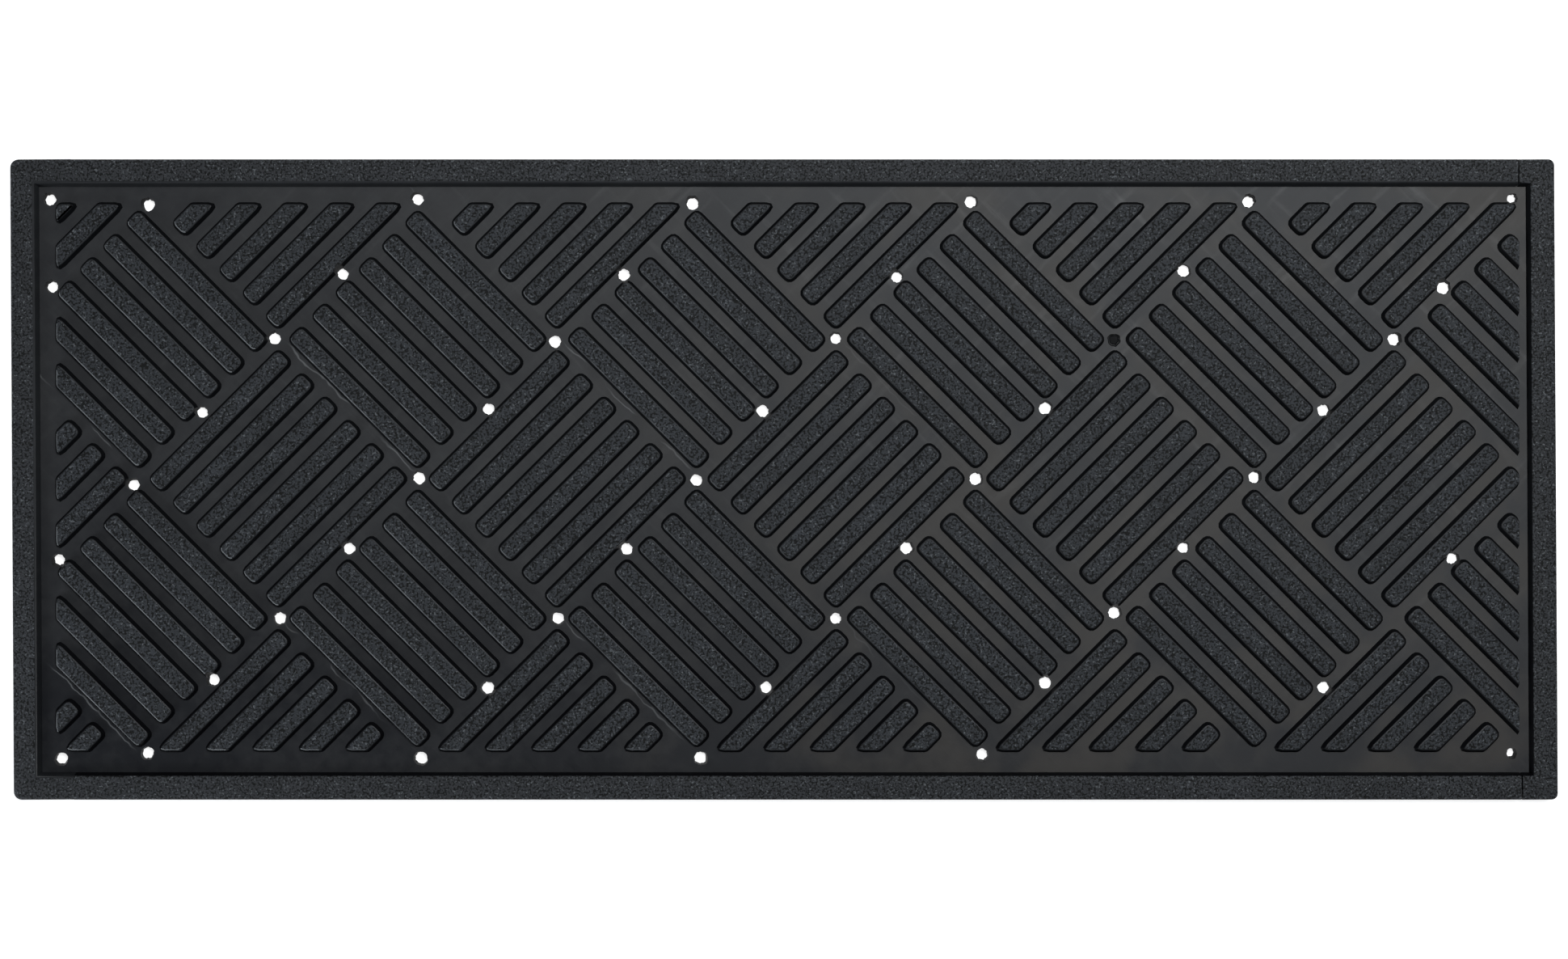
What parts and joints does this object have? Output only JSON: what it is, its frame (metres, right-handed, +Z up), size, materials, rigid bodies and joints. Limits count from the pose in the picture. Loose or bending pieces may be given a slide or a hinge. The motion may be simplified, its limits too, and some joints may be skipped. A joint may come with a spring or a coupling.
{
  "type": "door mat",
  "caption": "Flat rubber scraper door mat: a raised grained lip round a tray of parquet tread blocks of rounded bars, with drain holes right through and small feet underneath",
  "frame": {"origin": "On the floor, under the middle of the mat", "axes": "+X along the mat, towards the end whose lip is a seamed end piece; +Y from the front edge to the back edge; +Z up, out of the tread"},
  "size_m": [0.75, 0.311, 0.0085],
  "materials": {
    "sheet_rubber": "smooth satin black rubber",
    "lip_rubber": "fine grained matt black rubber",
    "tread_rubber": "fine grained matt black rubber"
  },
  "bodies": {
    "root": {"base_sheet": "sheet_rubber", "border_left": "lip_rubber", "border_right": "lip_rubber", "border_front": "lip_rubber", "border_back": "lip_rubber", "tread_block_1_1": "tread_rubber", "tread_block_1_2": "tread_rubber", "tread_block_1_3": "tread_rubber", "tread_block_1_4": "tread_rubber", "tread_block_1_5": "tread_rubber", "tread_block_1_6": "tread_rubber", "tread_block_2_1": "tread_rubber", "tread_block_2_2": "tread_rubber", "tread_block_2_3": "tread_rubber", "tread_block_2_4": "tread_rubber", "tread_block_2_5": "tread_rubber", "tread_block_2_6": "tread_rubber", "tread_block_3_1": "tread_rubber", "tread_block_3_2": "tread_rubber", "tread_block_3_3": "tread_rubber", "tread_block_3_4": "tread_rubber", "tread_block_3_5": "tread_rubber", "tread_block_3_6": "tread_rubber", "tread_block_4_1": "tread_rubber", "tread_block_4_2": "tread_rubber", "tread_block_4_3": "tread_rubber", "tread_block_4_4": "tread_rubber", "tread_block_4_5": "tread_rubber", "tread_block_4_6": "tread_rubber", "tread_block_5_1": "tread_rubber", "tread_block_5_2": "tread_rubber", "tread_block_5_3": "tread_rubber", "tread_block_5_4": "tread_rubber", "tread_block_5_5": "tread_rubber", "tread_block_5_6": "tread_rubber"}
  },
  "joints": []
}
